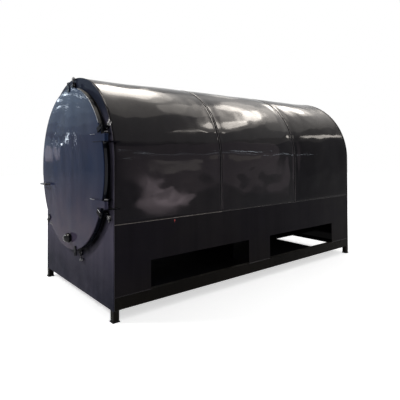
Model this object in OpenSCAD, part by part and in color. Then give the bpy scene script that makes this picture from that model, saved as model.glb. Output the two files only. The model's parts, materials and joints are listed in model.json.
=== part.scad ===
// Horizontal carbonization furnace: a round drum in a barrel-topped steel casing,
// with a hinged round door at the front and fire openings along both sides.
// Millimetres. X is the width, Y runs from the door to the rear, Z is up from the ground.

/* [Casing] */
// Width over the front plate
body_w = 1900; // [1580:10:2000]
// Length from the front plate's face to the rear plate's face
body_l = 4150; // [3450:10:5600]
// Height of the crown above the ground
crown_z = 2480; // [2400:10:2980]
// Clear height under the casing
ground_gap = 110; // [80:5:200]
// Height of the seam between the skirt and the rolled shell
seam_z = 930; // [850:10:1050]
// Length of the front rolled panel, and of the middle one
panel_l = 1400; // [1000:10:1600]
// Thickness of the shell and the skirt
shell_t = 6; // [4:1:10]
// Thickness of the front and rear plates
plate_t = 10; // [8:1:16]
// How far the end plates stand out past the shell
plate_lip = 4; // [2:1:8]

/* [Base frame] */
// Height of the bottom rails
rail_h = 125; // [90:5:160]
// Width of the bottom rails' flanges
rail_w = 50; // [40:5:70]
// Wall of the bottom rails
rail_t = 6; // [4:1:8]
// Height of the cross bearers
bearer_h = 36; // [30:2:50]
// Width of the cross bearers
bearer_w = 50; // [40:5:60]
// Thickness of the ash floor
floor_t = 8; // [5:1:12]
// Length of the ash bay at the rear right, which has no floor
ash_bay_l = 650; // [500:10:780]
// Size of the square legs
leg_w = 62; // [40:2:80]
// Wall of the legs
leg_wall = 4; // [3:1:6]
// Width of the square foot plates
foot_w = 76; // [54:2:120]
// Thickness of the foot plates
foot_t = 10; // [8:1:16]

/* [Fire openings] */
// Top edge of the side openings
fire_top = 530; // [460:10:640]
// Length of the skirt before the first opening
front_post_l = 415; // [300:5:500]
// Length of the skirt between the two openings
mid_post_l = 395; // [300:5:480]
// Length of the skirt after the second opening
rear_post_l = 440; // [300:5:530]

/* [Drum] */
// Gap between the drum and the shell beside it
side_flue = 92; // [75:1:150]
// Wall of the drum
drum_t = 8; // [6:1:12]
// How far the drum's and the door's centre is below the arch's
drum_drop = 75; // [30:5:90]
// Gap between the drum's back head and the rear plate
flue_gap = 90; // [60:5:150]
// Length of the neck that the door closes on
neck_l = 30; // [20:2:60]
// Step from the drum's inner wall out to the neck's
neck_step = 38; // [34:1:46]
// Wall of the neck
neck_t = 12; // [8:1:16]

/* [Door] */
// How far the door reaches out past the neck
door_lap = 15; // [10:1:20]
// Thickness of the door's face disc
disc_t = 8; // [6:1:12]
// Depth of the rim behind the disc
rim_l = 32; // [24:2:60]
// Width of the rim
rim_w = 35; // [25:1:50]
// Gap between the closed door and the neck
seat_gap = 5; // [5:1:10]
// Gap between the pan on the door's inner side and the drum's wall, seen from the front
pan_gap = 10; // [8:1:60]
// How far the pan reaches past the rim
pan_reach = 20; // [10:2:30]
// Sheet of the pan
pan_t = 5; // [3:1:8]
// Gap between a hinge strap and the clamp lug beyond it
hinge_clear = 14; // [5:1:40]
// Height of a hinge strap
strap_h = 70; // [50:2:90]
// Thickness of the straps and of the door's clamp lugs
strap_t = 12; // [8:1:16]
// Length of a strap from the hinge axis
strap_l = 322; // [250:2:400]
// Distance of the hinge axis outside the door's edge
hinge_out = 57; // [50:1:80]
// Radius of the hinge pins
hinge_pin_r = 10; // [8:1:14]
// Radius of the hinge knuckles
knuckle_r = 20; // [18:1:26]
// Radius of the door vent's pipe
vent_r = 42; // [30:1:60]
// Radius of the handle's bar
handle_r = 11; // [8:1:15]
// Length of the handle's grip
handle_l = 160; // [120:5:220]
// Angle of the handle on the door, from +X
handle_a = -163; // [-175:1:-155]

/* [Clamps] */
// Distance of the clamps' pivots outside the door's edge
clamp_out = 40; // [36:1:48]
// Height of the pivots in front of the front plate
pivot_out = 21; // [20:1:30]
// Radius of the clamp pins
clamp_pin_r = 7; // [5:1:9]
// Radius of the clamp bolts' shanks
shank_r = 8; // [6:0.2:10]
// Length of a clamp bolt from its pivot
bolt_l = 94; // [93:1:108]
// Radius of a bolt's eye
eye_r = 16; // [14:1:18]
// Width of a bolt's eye
eye_w = 18; // [14:1:22]
// Thickness of a clamp lug's plates
lug_t = 9; // [6:1:12]
// Length of the bar on a clamp nut
bar_l = 70; // [50:5:100]

/* [Hidden] */
$fn = 96;
half_w = body_w / 2;
arch_z = crown_z - half_w;
shell_r = half_w - plate_lip;
rail_top = ground_gap + rail_h;
bearer_z = ground_gap + rail_t;
floor_z = bearer_z + bearer_h;
floor_top = floor_z + floor_t;
inner_x = shell_r - rail_t;
inner_end = body_l - plate_t;
floor_end = inner_end - ash_bay_l;
fire_l = (inner_end - plate_t - front_post_l - mid_post_l - rear_post_l) / 2;
// Running clearance round a pin, and the seat of one curved face on another
pin_gap = 0.1;
eye_gap = 0.4;
seat = 0.3;
// How far a cutting shape runs past the piece it cuts
over = 1;

drum_ro = shell_r - shell_t - side_flue;
drum_ri = drum_ro - drum_t;
door_z = arch_z - drum_drop;
head_t = 10;
drum_end = inner_end - flue_gap - head_t;
saddle_y = plate_t + front_post_l + fire_l + mid_post_l / 2;
saddle_w = 900;
saddle_t = 10;
bracket_xs = [-300, 0, 300];
bracket_hold = 250;
bracket_nose = 42;
bracket_drop = 137;
drum_low = door_z - drum_ro;
// How far the drum's supports reach up beside it
cradle_rise = 176;
floor_play = 2;

// The neck, the door and what goes round them
neck_r = drum_ri + neck_step + neck_t;
door_r = neck_r + door_lap;
pan_r = drum_ri - pan_gap;
clamp_r = door_r + clamp_out;

// Depths in front of the front plate's face, which is at y = 0 here
rim_y = -(neck_l + seat_gap);
disc_y = rim_y - rim_l;
face_y = disc_y - disc_t;
hinge_x = door_r + hinge_out;
hinge_y = face_y - strap_t / 2;
lug_nose_r = knuckle_r + 2;
lug_gap = 2;
hinge_lug_t = 12;
hinge_root_x = neck_r - 18;
hinge_root_w = 30;
pin_head_over = 5;
pin_head_h = 8;
side_reach = hinge_x + lug_nose_r;
// How far a hinge's ear runs back along the casing's side
ear_l = 55;

// Angles of the clamps on the door, from +X: top, upper right, lower right, bottom, lower left
side_a = 27;
clamp_angles = [90, side_a, -side_a, -77, -135];
clamp_lug_l = 60;
lug_play = 1;
clamp_pin_past = 3;
door_lug_w = 50;
door_lug_hold = 40;
door_lug_past = 25;
slot_play = 3;
slot_r = shank_r + slot_play;
// The hinges sit just inside the two clamps beside them
door_lug_low = (door_r - door_lug_hold) * sin(side_a) - door_lug_w / 2 * cos(side_a);
hinge_dz = door_lug_low - hinge_clear - strap_h / 2;
hinge_zs = [door_z - hinge_dz, door_z + hinge_dz];
nut_r = 15;
nut_l = 20;
thread_past = 6;
nut_at = bolt_l - nut_l - thread_past;
bar_r = 6;

vent_x = 45;
vent_in = 130;
vent_z = door_z - door_r + vent_in;
vent_l = 18;
cap_r = vent_r + 12;
cap_l = 8;
dome_r = cap_r - 2;
handle_in = 155;
handle_at = door_r - handle_in;
handle_out = 58;

leg_xs = [-(half_w - leg_w / 2), half_w - leg_w / 2];
leg_ys = [leg_w / 2, body_l - leg_w / 2];
foot_past = foot_w / 2 - leg_w / 2;
foot_reach = half_w + foot_past;

// The origin is the middle of the whole object's footprint
front_reach = max(-face_y + vent_l + cap_l + dome_r, -face_y + handle_out + handle_r);
front_y = (front_reach - body_l - foot_past) / 2;
mid_x = (foot_reach - max(side_reach, foot_reach)) / 2;

// ---- Shared shapes ----

// Draws a piece with x = 0 on the casing's middle plane and y = 0 on the front plate's face
module placed() { translate([mid_x, front_y, 0]) children(); }

// Extrudes an X-Z outline from y0 to y1
module along_y(y0, y1) {
    translate([0, y1, 0]) rotate([90, 0, 0]) linear_extrude(y1 - y0) children();
}

// A round bar or disc along Y
module y_cyl(r, y0, y1) {
    translate([0, y1, 0]) rotate([90, 0, 0]) cylinder(r = r, h = y1 - y0);
}

// A flat-sided outline with a half-round top
module arch(half, low_z) {
    translate([-half, low_z]) square([2 * half, arch_z - low_z]);
    intersection() {
        translate([0, arch_z]) circle(r = half, $fn = 180);
        translate([-half - over, arch_z]) square([2 * (half + over), half + over]);
    }
}

// Puts a piece at the door's centre, with +X pointing out at angle a
module at_angle(a) { translate([0, 0, door_z]) rotate([0, -a, 0]) children(); }

// A ring of the drum's or the door's circle
module ring(r_out, r_in, y0, y1) {
    translate([0, 0, door_z]) along_y(y0, y1) difference() {
        circle(r = r_out, $fn = 180);
        circle(r = r_in, $fn = 180);
    }
}

// ---- Casing ----

module front_plate() color("#2b2d35") placed() {
    along_y(0, plate_t) difference() {
        arch(half_w, ground_gap);
        translate([0, door_z]) circle(r = drum_ri, $fn = 180);
    }
}

module rear_plate() color("#25262b") placed() along_y(inner_end, body_l) arch(half_w, ground_gap);

module shell_panel(y0, y1) color("#232323") placed() along_y(y0, y1) difference() {
    arch(shell_r, seam_z);
    arch(shell_r - shell_t, seam_z - over);
}

module shell_panel_front() shell_panel(plate_t, panel_l);
module shell_panel_middle() shell_panel(panel_l, 2 * panel_l);
module shell_panel_rear() shell_panel(2 * panel_l, inner_end);

// A flat piece of the skirt on one side; side is 1 on the right and -1 on the left
module skirt_piece(side, y0, y1, z0, z1) {
    x = side > 0 ? shell_r - shell_t : -shell_r;
    translate([x, y0, z0]) cube([shell_t, y1 - y0, z1 - z0]);
}

module skirt_band(side) color("#1d1e1c") placed() {
    skirt_piece(side, plate_t, inner_end, fire_top, seam_z);
}

module skirt_posts(side) color("#1d1e1c") placed() {
    first = plate_t + front_post_l;
    second = first + fire_l + mid_post_l;
    skirt_piece(side, plate_t, first, rail_top, fire_top);
    skirt_piece(side, first + fire_l, second, rail_top, fire_top);
    skirt_piece(side, second + fire_l, inner_end, rail_top, fire_top);
}

module right_skirt_band() skirt_band(1);
module left_skirt_band() skirt_band(-1);
module right_skirt_posts() skirt_posts(1);
module left_skirt_posts() skirt_posts(-1);

// ---- Base frame ----

// A channel with its web outside and its flanges turned in
module bottom_rail(side) color("#1b1b1b") placed() mirror([side > 0 ? 0 : 1, 0, 0]) {
    along_y(plate_t, inner_end) difference() {
        translate([shell_r - rail_w, ground_gap]) square([rail_w, rail_h]);
        translate([shell_r - rail_w - over, ground_gap + rail_t]) {
            square([rail_w - rail_t + over, rail_h - 2 * rail_t]);
        }
    }
}

module right_bottom_rail() bottom_rail(1);
module left_bottom_rail() bottom_rail(-1);

bearer_ys = [plate_t, saddle_y / 2, saddle_y - bearer_w / 2, floor_end - bearer_w, inner_end - bearer_w];

module cross_bearers() color("#1b1b1b") placed() for (y = bearer_ys) {
    translate([-inner_x, y, bearer_z]) cube([2 * inner_x, bearer_w, bearer_h]);
}

module ash_floor_front() color("#191919") placed() {
    translate([floor_play - inner_x, plate_t, floor_z]) {
        cube([2 * (inner_x - floor_play), floor_end - plate_t, floor_t]);
    }
}

module ash_floor_rear() color("#191919") placed() {
    translate([floor_play - inner_x, floor_end, floor_z]) {
        cube([inner_x - floor_play, inner_end - floor_end, floor_t]);
    }
}

module leg_posts() color("#1b1b1b") placed() for (x = leg_xs, y = leg_ys) {
    translate([x, y, foot_t]) linear_extrude(ground_gap - foot_t) difference() {
        square(leg_w, center = true);
        square(leg_w - 2 * leg_wall, center = true);
    }
}

module foot_plates() color("#1b1b1b") placed() for (x = leg_xs, y = leg_ys) {
    translate([x - foot_w / 2, y - foot_w / 2, 0]) cube([foot_w, foot_w, foot_t]);
}

// ---- Drum ----

module drum_half(upper) color("#3a3330") placed() intersection() {
    ring(drum_ro, drum_ri, plate_t, drum_end);
    translate([-drum_ro - over, 0, upper ? door_z : door_z - drum_ro - over]) {
        cube([2 * (drum_ro + over), body_l, drum_ro + over]);
    }
}

module drum_lower() drum_half(false);
module drum_upper() drum_half(true);

module drum_back_head() color("#3a3330") placed() {
    translate([0, 0, door_z]) y_cyl(drum_ro, drum_end, drum_end + head_t, $fn = 180);
}

// A saddle on the ash floor, and ribs on the rear plate, that carry the drum
module drum_supports() color("#191919") placed() difference() {
    union() {
        translate([-saddle_w / 2, saddle_y - saddle_t / 2, floor_top]) {
            cube([saddle_w, saddle_t, drum_low + cradle_rise - floor_top]);
        }
        for (x = bracket_xs) translate([x - saddle_t / 2, 0, 0]) rotate([90, 0, 90]) {
            linear_extrude(saddle_t) polygon([
                [inner_end, drum_low - bracket_drop],
                [inner_end, drum_low + cradle_rise],
                [inner_end - flue_gap - bracket_hold, drum_low + cradle_rise],
                [inner_end - flue_gap - bracket_hold, drum_low - bracket_nose],
            ]);
        }
    }
    translate([0, 0, door_z]) y_cyl(drum_ro + seat, 0, body_l, $fn = 180);
}

module neck_ring() color("#16161a") placed() ring(neck_r, drum_ri + neck_step, -neck_l, 0);

// ---- What the front plate carries for the door ----

// Two plates on either side of each clamp's pivot
module clamp_lugs() color("#1b1c22") placed() for (a = clamp_angles) at_angle(a) for (s = [-1, 1]) {
    mid = s * (eye_w / 2 + lug_play + lug_t / 2);
    translate([clamp_r, 0, mid - lug_t / 2]) linear_extrude(lug_t) difference() {
        union() {
            translate([-clamp_lug_l / 2, -pivot_out]) square([clamp_lug_l, pivot_out]);
            translate([0, -pivot_out]) circle(r = eye_r);
        }
        translate([0, -pivot_out]) circle(r = clamp_pin_r + pin_gap / 2);
    }
}

module clamp_pins() color("#5a5c62") placed() for (a = clamp_angles) at_angle(a) {
    pin_l = eye_w + 2 * (lug_play + lug_t + clamp_pin_past);
    translate([clamp_r, -pivot_out, 0]) cylinder(r = clamp_pin_r, h = pin_l, center = true);
}

// A flat plate from the front plate out to the hinge axis
module hinge_lug() linear_extrude(hinge_lug_t) difference() {
    union() {
        polygon([
            [hinge_root_x, 0],
            [hinge_root_x + hinge_root_w, 0],
            [hinge_x + lug_nose_r, hinge_y],
            [hinge_x - lug_nose_r, hinge_y],
        ]);
        translate([hinge_x, hinge_y]) circle(r = lug_nose_r);
    }
    translate([hinge_x, hinge_y]) circle(r = hinge_pin_r + pin_gap / 2);
}

// The lower lug's ear goes round the plate's corner and back along the casing's side
module hinge_ear(z) difference() {
    translate([neck_r, hinge_y / 2, z]) cube([side_reach - neck_r, ear_l - hinge_y / 2, hinge_lug_t]);
    along_y(0, plate_t) arch(half_w + seat, 0);
    along_y(plate_t, ear_l + over) arch(shell_r + seat, 0);
}

module hinge_lugs() color("#1b1c22") placed() for (z = hinge_zs) {
    translate([0, 0, z + strap_h / 2 + lug_gap]) hinge_lug();
    low = z - strap_h / 2 - lug_gap - hinge_lug_t;
    translate([0, 0, low]) hinge_lug();
    hinge_ear(low);
}

module hinge_pins() color("#5a5c62") placed() for (z = hinge_zs) {
    pin_l = strap_h + 2 * (lug_gap + hinge_lug_t);
    translate([hinge_x, hinge_y, z - pin_l / 2]) {
        cylinder(r = hinge_pin_r, h = pin_l);
        translate([0, 0, pin_l]) cylinder(r = hinge_pin_r + pin_head_over, h = pin_head_h);
    }
}

// ---- Door ----

module door_disc() color("#26282f") placed() {
    translate([0, 0, door_z]) y_cyl(door_r, face_y, disc_y, $fn = 180);
}

module door_rim() color("#3a3b42") placed() ring(door_r, door_r - rim_w, disc_y, rim_y);

// A shallow pan over the insulation on the door's inner side
module door_pan() color("#3a3330") placed() {
    ring(pan_r, pan_r - pan_t, disc_y, rim_y + pan_reach - pan_t);
    translate([0, 0, door_z]) y_cyl(pan_r, rim_y + pan_reach - pan_t, rim_y + pan_reach, $fn = 180);
}

module door_hinge_straps() color("#1b1c22") placed() for (z = hinge_zs) {
    translate([0, 0, z - strap_h / 2]) linear_extrude(strap_h) difference() {
        union() {
            translate([hinge_x - strap_l, face_y - strap_t]) square([strap_l, strap_t]);
            translate([hinge_x, hinge_y]) circle(r = knuckle_r);
        }
        translate([hinge_x, hinge_y]) circle(r = hinge_pin_r + pin_gap);
    }
}

// Slotted lugs on the door's face, one for each clamp
module door_clamp_lugs() color("#1b1c22") placed() for (a = clamp_angles) at_angle(a) {
    along_y(face_y - strap_t, face_y) difference() {
        translate([door_r - door_lug_hold, -door_lug_w / 2]) {
            square([door_lug_hold + clamp_out + door_lug_past, door_lug_w]);
        }
        translate([clamp_r, 0]) circle(r = slot_r);
        translate([clamp_r, -slot_r]) square([door_lug_past + over, 2 * slot_r]);
    }
}

// A level bar on two stems
module door_handle() color("#4a4b50") placed() {
    bar_y = face_y - handle_out;
    translate([handle_at * cos(handle_a), 0, door_z + handle_at * sin(handle_a)]) {
        for (x = [-handle_l / 2, handle_l / 2]) translate([x, 0, 0]) y_cyl(handle_r, bar_y, face_y);
        translate([-handle_l / 2, bar_y, 0]) rotate([0, 90, 0]) cylinder(r = handle_r, h = handle_l);
        for (x = [-handle_l / 2, handle_l / 2]) translate([x, bar_y, 0]) sphere(r = handle_r);
    }
}

// A pipe stub with a domed cap
module door_vent() color("#111113") placed() translate([vent_x, face_y, vent_z]) {
    dome_at = vent_l + cap_l;
    rotate([90, 0, 0]) rotate_extrude() {
        square([vent_r, vent_l]);
        translate([0, vent_l]) square([cap_r, cap_l]);
        intersection() {
            translate([0, dome_at]) circle(r = dome_r);
            translate([0, dome_at]) square(dome_r);
        }
    }
}

// ---- Clamps, swung out clear of the door ----

module clamp_bolt(a) color("#2a2b30") placed() at_angle(a) translate([clamp_r, -pivot_out, 0]) difference() {
    union() {
        cylinder(r = eye_r, h = eye_w, center = true);
        rotate([0, 90, 0]) cylinder(r = shank_r, h = bolt_l);
    }
    cylinder(r = clamp_pin_r + eye_gap, h = eye_w + 2 * over, center = true);
}

module clamp_nut(a) color("#6a6b70") placed() at_angle(a) translate([clamp_r + nut_at, -pivot_out, 0]) {
    difference() {
        union() {
            rotate([0, 90, 0]) cylinder(r = nut_r, h = nut_l);
            translate([nut_l / 2, 0, 0]) cylinder(r = bar_r, h = bar_l, center = true);
        }
        translate([-over, 0, 0]) rotate([0, 90, 0]) cylinder(r = shank_r + pin_gap / 2, h = nut_l + 2 * over);
    }
}

module clamp_bolt_top() clamp_bolt(clamp_angles[0]);
module clamp_bolt_upper_right() clamp_bolt(clamp_angles[1]);
module clamp_bolt_lower_right() clamp_bolt(clamp_angles[2]);
module clamp_bolt_bottom() clamp_bolt(clamp_angles[3]);
module clamp_bolt_lower_left() clamp_bolt(clamp_angles[4]);
module clamp_nut_top() clamp_nut(clamp_angles[0]);
module clamp_nut_upper_right() clamp_nut(clamp_angles[1]);
module clamp_nut_lower_right() clamp_nut(clamp_angles[2]);
module clamp_nut_bottom() clamp_nut(clamp_angles[3]);
module clamp_nut_lower_left() clamp_nut(clamp_angles[4]);

front_plate();
rear_plate();
shell_panel_front();
shell_panel_middle();
shell_panel_rear();
right_skirt_band();
left_skirt_band();
right_skirt_posts();
left_skirt_posts();
right_bottom_rail();
left_bottom_rail();
cross_bearers();
ash_floor_front();
ash_floor_rear();
leg_posts();
foot_plates();
drum_lower();
drum_upper();
drum_back_head();
drum_supports();
neck_ring();
clamp_lugs();
clamp_pins();
hinge_lugs();
hinge_pins();
door_disc();
door_rim();
door_pan();
door_hinge_straps();
door_clamp_lugs();
door_handle();
door_vent();
clamp_bolt_top();
clamp_bolt_upper_right();
clamp_bolt_lower_right();
clamp_bolt_bottom();
clamp_bolt_lower_left();
clamp_nut_top();
clamp_nut_upper_right();
clamp_nut_lower_right();
clamp_nut_bottom();
clamp_nut_lower_left();
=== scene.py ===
import json
import math
from collections import Counter

import bpy
from mathutils import Matrix, Vector, noise


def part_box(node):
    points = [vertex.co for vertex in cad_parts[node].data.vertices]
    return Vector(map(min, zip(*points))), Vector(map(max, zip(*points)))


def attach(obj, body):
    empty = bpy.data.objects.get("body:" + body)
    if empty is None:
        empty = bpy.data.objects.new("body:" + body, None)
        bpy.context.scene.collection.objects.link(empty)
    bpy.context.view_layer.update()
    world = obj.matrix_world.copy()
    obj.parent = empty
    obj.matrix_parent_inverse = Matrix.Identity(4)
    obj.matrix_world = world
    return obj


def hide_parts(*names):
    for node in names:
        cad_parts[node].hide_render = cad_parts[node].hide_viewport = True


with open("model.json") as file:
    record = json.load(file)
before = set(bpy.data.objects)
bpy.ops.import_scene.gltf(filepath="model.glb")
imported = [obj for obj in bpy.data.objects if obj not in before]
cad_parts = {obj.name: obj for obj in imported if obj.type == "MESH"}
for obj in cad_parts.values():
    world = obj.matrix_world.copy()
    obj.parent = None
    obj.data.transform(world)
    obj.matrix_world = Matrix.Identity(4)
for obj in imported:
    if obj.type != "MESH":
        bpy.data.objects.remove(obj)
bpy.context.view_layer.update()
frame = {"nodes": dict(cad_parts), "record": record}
NODES = frame["nodes"]

# ---- Places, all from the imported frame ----

PLATE_LOW, PLATE_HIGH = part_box("front_plate")
REAR_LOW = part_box("rear_plate")[0]
MID_X = (PLATE_LOW.x + PLATE_HIGH.x) / 2
FRONT_Y = PLATE_LOW.y
PLATE_BACK = PLATE_HIGH.y
HALF_W = (PLATE_HIGH.x - PLATE_LOW.x) / 2
ARCH_Z = PLATE_HIGH.z - HALF_W
PANEL_LOW, PANEL_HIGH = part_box("shell_panel_front")
SHELL_R = (PANEL_HIGH.x - PANEL_LOW.x) / 2
SEAM_Z = PANEL_LOW.z
DISC_LOW, DISC_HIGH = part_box("door_disc")
DOOR_R = (DISC_HIGH.x - DISC_LOW.x) / 2
DOOR_Z = (DISC_HIGH.z + DISC_LOW.z) / 2
FACE_Y = DISC_LOW.y
DISC_Y = DISC_HIGH.y
NECK_LOW, NECK_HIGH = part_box("neck_ring")
NECK_R = (NECK_HIGH.x - NECK_LOW.x) / 2
DRUM_LOW, DRUM_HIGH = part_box("drum_upper")
DRUM_T = 0.008
DRUM_R = (DRUM_HIGH.x - DRUM_LOW.x) / 2 - DRUM_T
RAIL_LOW, RAIL_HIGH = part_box("right_bottom_rail")
FIRE_TOP_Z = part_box("right_skirt_band")[0].z
CENTRE = Vector((MID_X, 0, DOOR_Z))


def corners_along(name, axis):
    """The places of a node's corners along an axis, in order."""
    return sorted({round(v.co[axis], 4) for v in NODES[name].data.vertices})


POST_YS = corners_along("right_skirt_posts", 1)

# ---- Camera: the photograph's viewpoint ----

# How far it stands to the right of the front plate's middle, ahead of it, and above the ground
CAMERA_ASIDE = 4.3973
CAMERA_AHEAD = 1.7343
CAMERA_HEIGHT = 1.6277
CAMERA_AT = (CAMERA_ASIDE + MID_X, FRONT_Y - CAMERA_AHEAD, CAMERA_HEIGHT)
CAMERA_AZIMUTH = 50.87
CAMERA_PITCH = 0.77
CAMERA_ROLL = -0.18
CAMERA_LENS = 35.4
CAMERA_SENSOR = 36.0
CAMERA_SHIFT_Y = -0.132
CAMERA_REACH = 100.0


def make_camera():
    data = bpy.data.cameras.new("camera")
    data.sensor_width = CAMERA_SENSOR
    data.lens = CAMERA_LENS
    data.shift_y = CAMERA_SHIFT_Y
    data.clip_end = CAMERA_REACH
    camera = bpy.data.objects.new("camera", data)
    bpy.context.scene.collection.objects.link(camera)
    turn = Matrix.Rotation(math.radians(CAMERA_AZIMUTH), 4, "Z")
    tilt = Matrix.Rotation(math.radians(90 + CAMERA_PITCH), 4, "X")
    roll = Matrix.Rotation(math.radians(CAMERA_ROLL), 4, "Z")
    camera.matrix_world = Matrix.Translation(CAMERA_AT) @ turn @ tilt @ roll
    bpy.context.scene.camera = camera


# ---- Materials ----


class Tree:
    """A material's node tree, with short calls for the nodes used here."""

    def __init__(self, name):
        self.material = bpy.data.materials.new(name)
        self.material.use_nodes = True
        self.tree = self.material.node_tree
        self.shader = self.tree.nodes["Principled BSDF"]
        self.place = self.add("ShaderNodeTexCoord").outputs["Object"]
        self.normal = self.add("ShaderNodeNewGeometry").outputs["Normal"]

    def add(self, kind, **inputs):
        """A node with its inputs set. An underscore stands for a space in an input's name."""
        node = self.tree.nodes.new(kind)
        for name, value in inputs.items():
            self.set(node.inputs[name.replace("_", " ")], value)
        return node

    def set(self, socket, value):
        if isinstance(value, bpy.types.NodeSocket):
            self.tree.links.new(value, socket)
        else:
            socket.default_value = value

    def stretched(self, x, y, z):
        """The object's coordinates, scaled apart along each axis."""
        node = self.add("ShaderNodeMapping", Vector=self.place, Scale=(x, y, z))
        return node.outputs["Vector"]

    def noise(self, scale, detail=3.0, rough=0.5, place=None, distort=0.0):
        node = self.add(
            "ShaderNodeTexNoise", Vector=place or self.place, Scale=scale, Detail=detail,
            Roughness=rough, Distortion=distort,
        )
        return node.outputs["Fac"]

    def span(self, value, low, high, to_low=0.0, to_high=1.0):
        """value from low..high to to_low..to_high, clamped."""
        node = self.add(
            "ShaderNodeMapRange", Value=value, From_Min=low, From_Max=high, To_Min=to_low,
            To_Max=to_high,
        )
        return node.outputs["Result"]

    def math(self, kind, a, b):
        node = self.tree.nodes.new("ShaderNodeMath")
        node.operation = kind
        self.set(node.inputs[0], a)
        self.set(node.inputs[1], b)
        return node.outputs[0]

    def blend(self, fac, a, b):
        """The colour a where fac is 0, and b where it is 1."""
        node = self.tree.nodes.new("ShaderNodeMix")
        node.data_type = "RGBA"
        self.set(node.inputs["Factor"], fac)
        for socket, value in ((node.inputs[6], a), (node.inputs[7], b)):
            self.set(socket, (*value, 1.0) if isinstance(value, tuple) else value)
        return node.outputs[2]

    def vector(self, kind, a, b=(0, 0, 0)):
        node = self.tree.nodes.new("ShaderNodeVectorMath")
        node.operation = kind
        self.set(node.inputs[0], a)
        node.inputs[1].default_value = b
        return node.outputs["Value" if kind == "LENGTH" else "Vector"]

    def z_of(self, vector):
        return self.add("ShaderNodeSeparateXYZ", Vector=vector).outputs["Z"]

    def up(self):
        """1 where the surface faces up, 0 where it is steep."""
        return self.span(self.z_of(self.normal), 0.3, 1.0)

    def height(self):
        return self.z_of(self.place)

    def near_door_axis(self, low, high):
        """1 within low of the door's axis, 0 beyond high."""
        flat = self.vector("MULTIPLY", self.vector("SUBTRACT", self.place, CENTRE), (1, 0, 1))
        return self.span(self.vector("LENGTH", flat), low, high, 1.0, 0.0)

    def bump(self, *layers):
        """Stacks bumps: each layer is (height, depth in metres)."""
        last = None
        for height, depth in layers:
            node = self.add("ShaderNodeBump", Distance=depth, Height=height)
            if last:
                self.set(node.inputs["Normal"], last)
            last = node.outputs["Normal"]
        return last

    def finish(self, color, roughness, normal, ior=1.45, metallic=0.0, specular=0.5):
        values = {
            "Base Color": color, "Roughness": roughness, "Normal": normal, "IOR": ior,
            "Metallic": metallic, "Specular IOR Level": specular,
        }
        for name, value in values.items():
            self.set(self.shader.inputs[name], value)
        return self.material


# The dirt on a lower part: its colour, and the heights where it is full and where it ends
SOOT_FILM = ((0.018, 0.015, 0.012), 0.05, 0.55)
DUST_AND_SHEEN_COLOR = (0.16, 0.15, 0.13)
DOOR_SHADOW_COLOR = (0.002, 0.002, 0.002)
ARCH_SHADE_COLOR = (0.016, 0.021, 0.036)
CHIP_COLOR = (0.06, 0.03, 0.018)
SCRATCH_COLOR = (0.1, 0.1, 0.1)
PEEL_DEPTH = 0.000005
SCRATCH_DEPTH = 0.0001
CHIP_DEPTH = 0.0003


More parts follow.
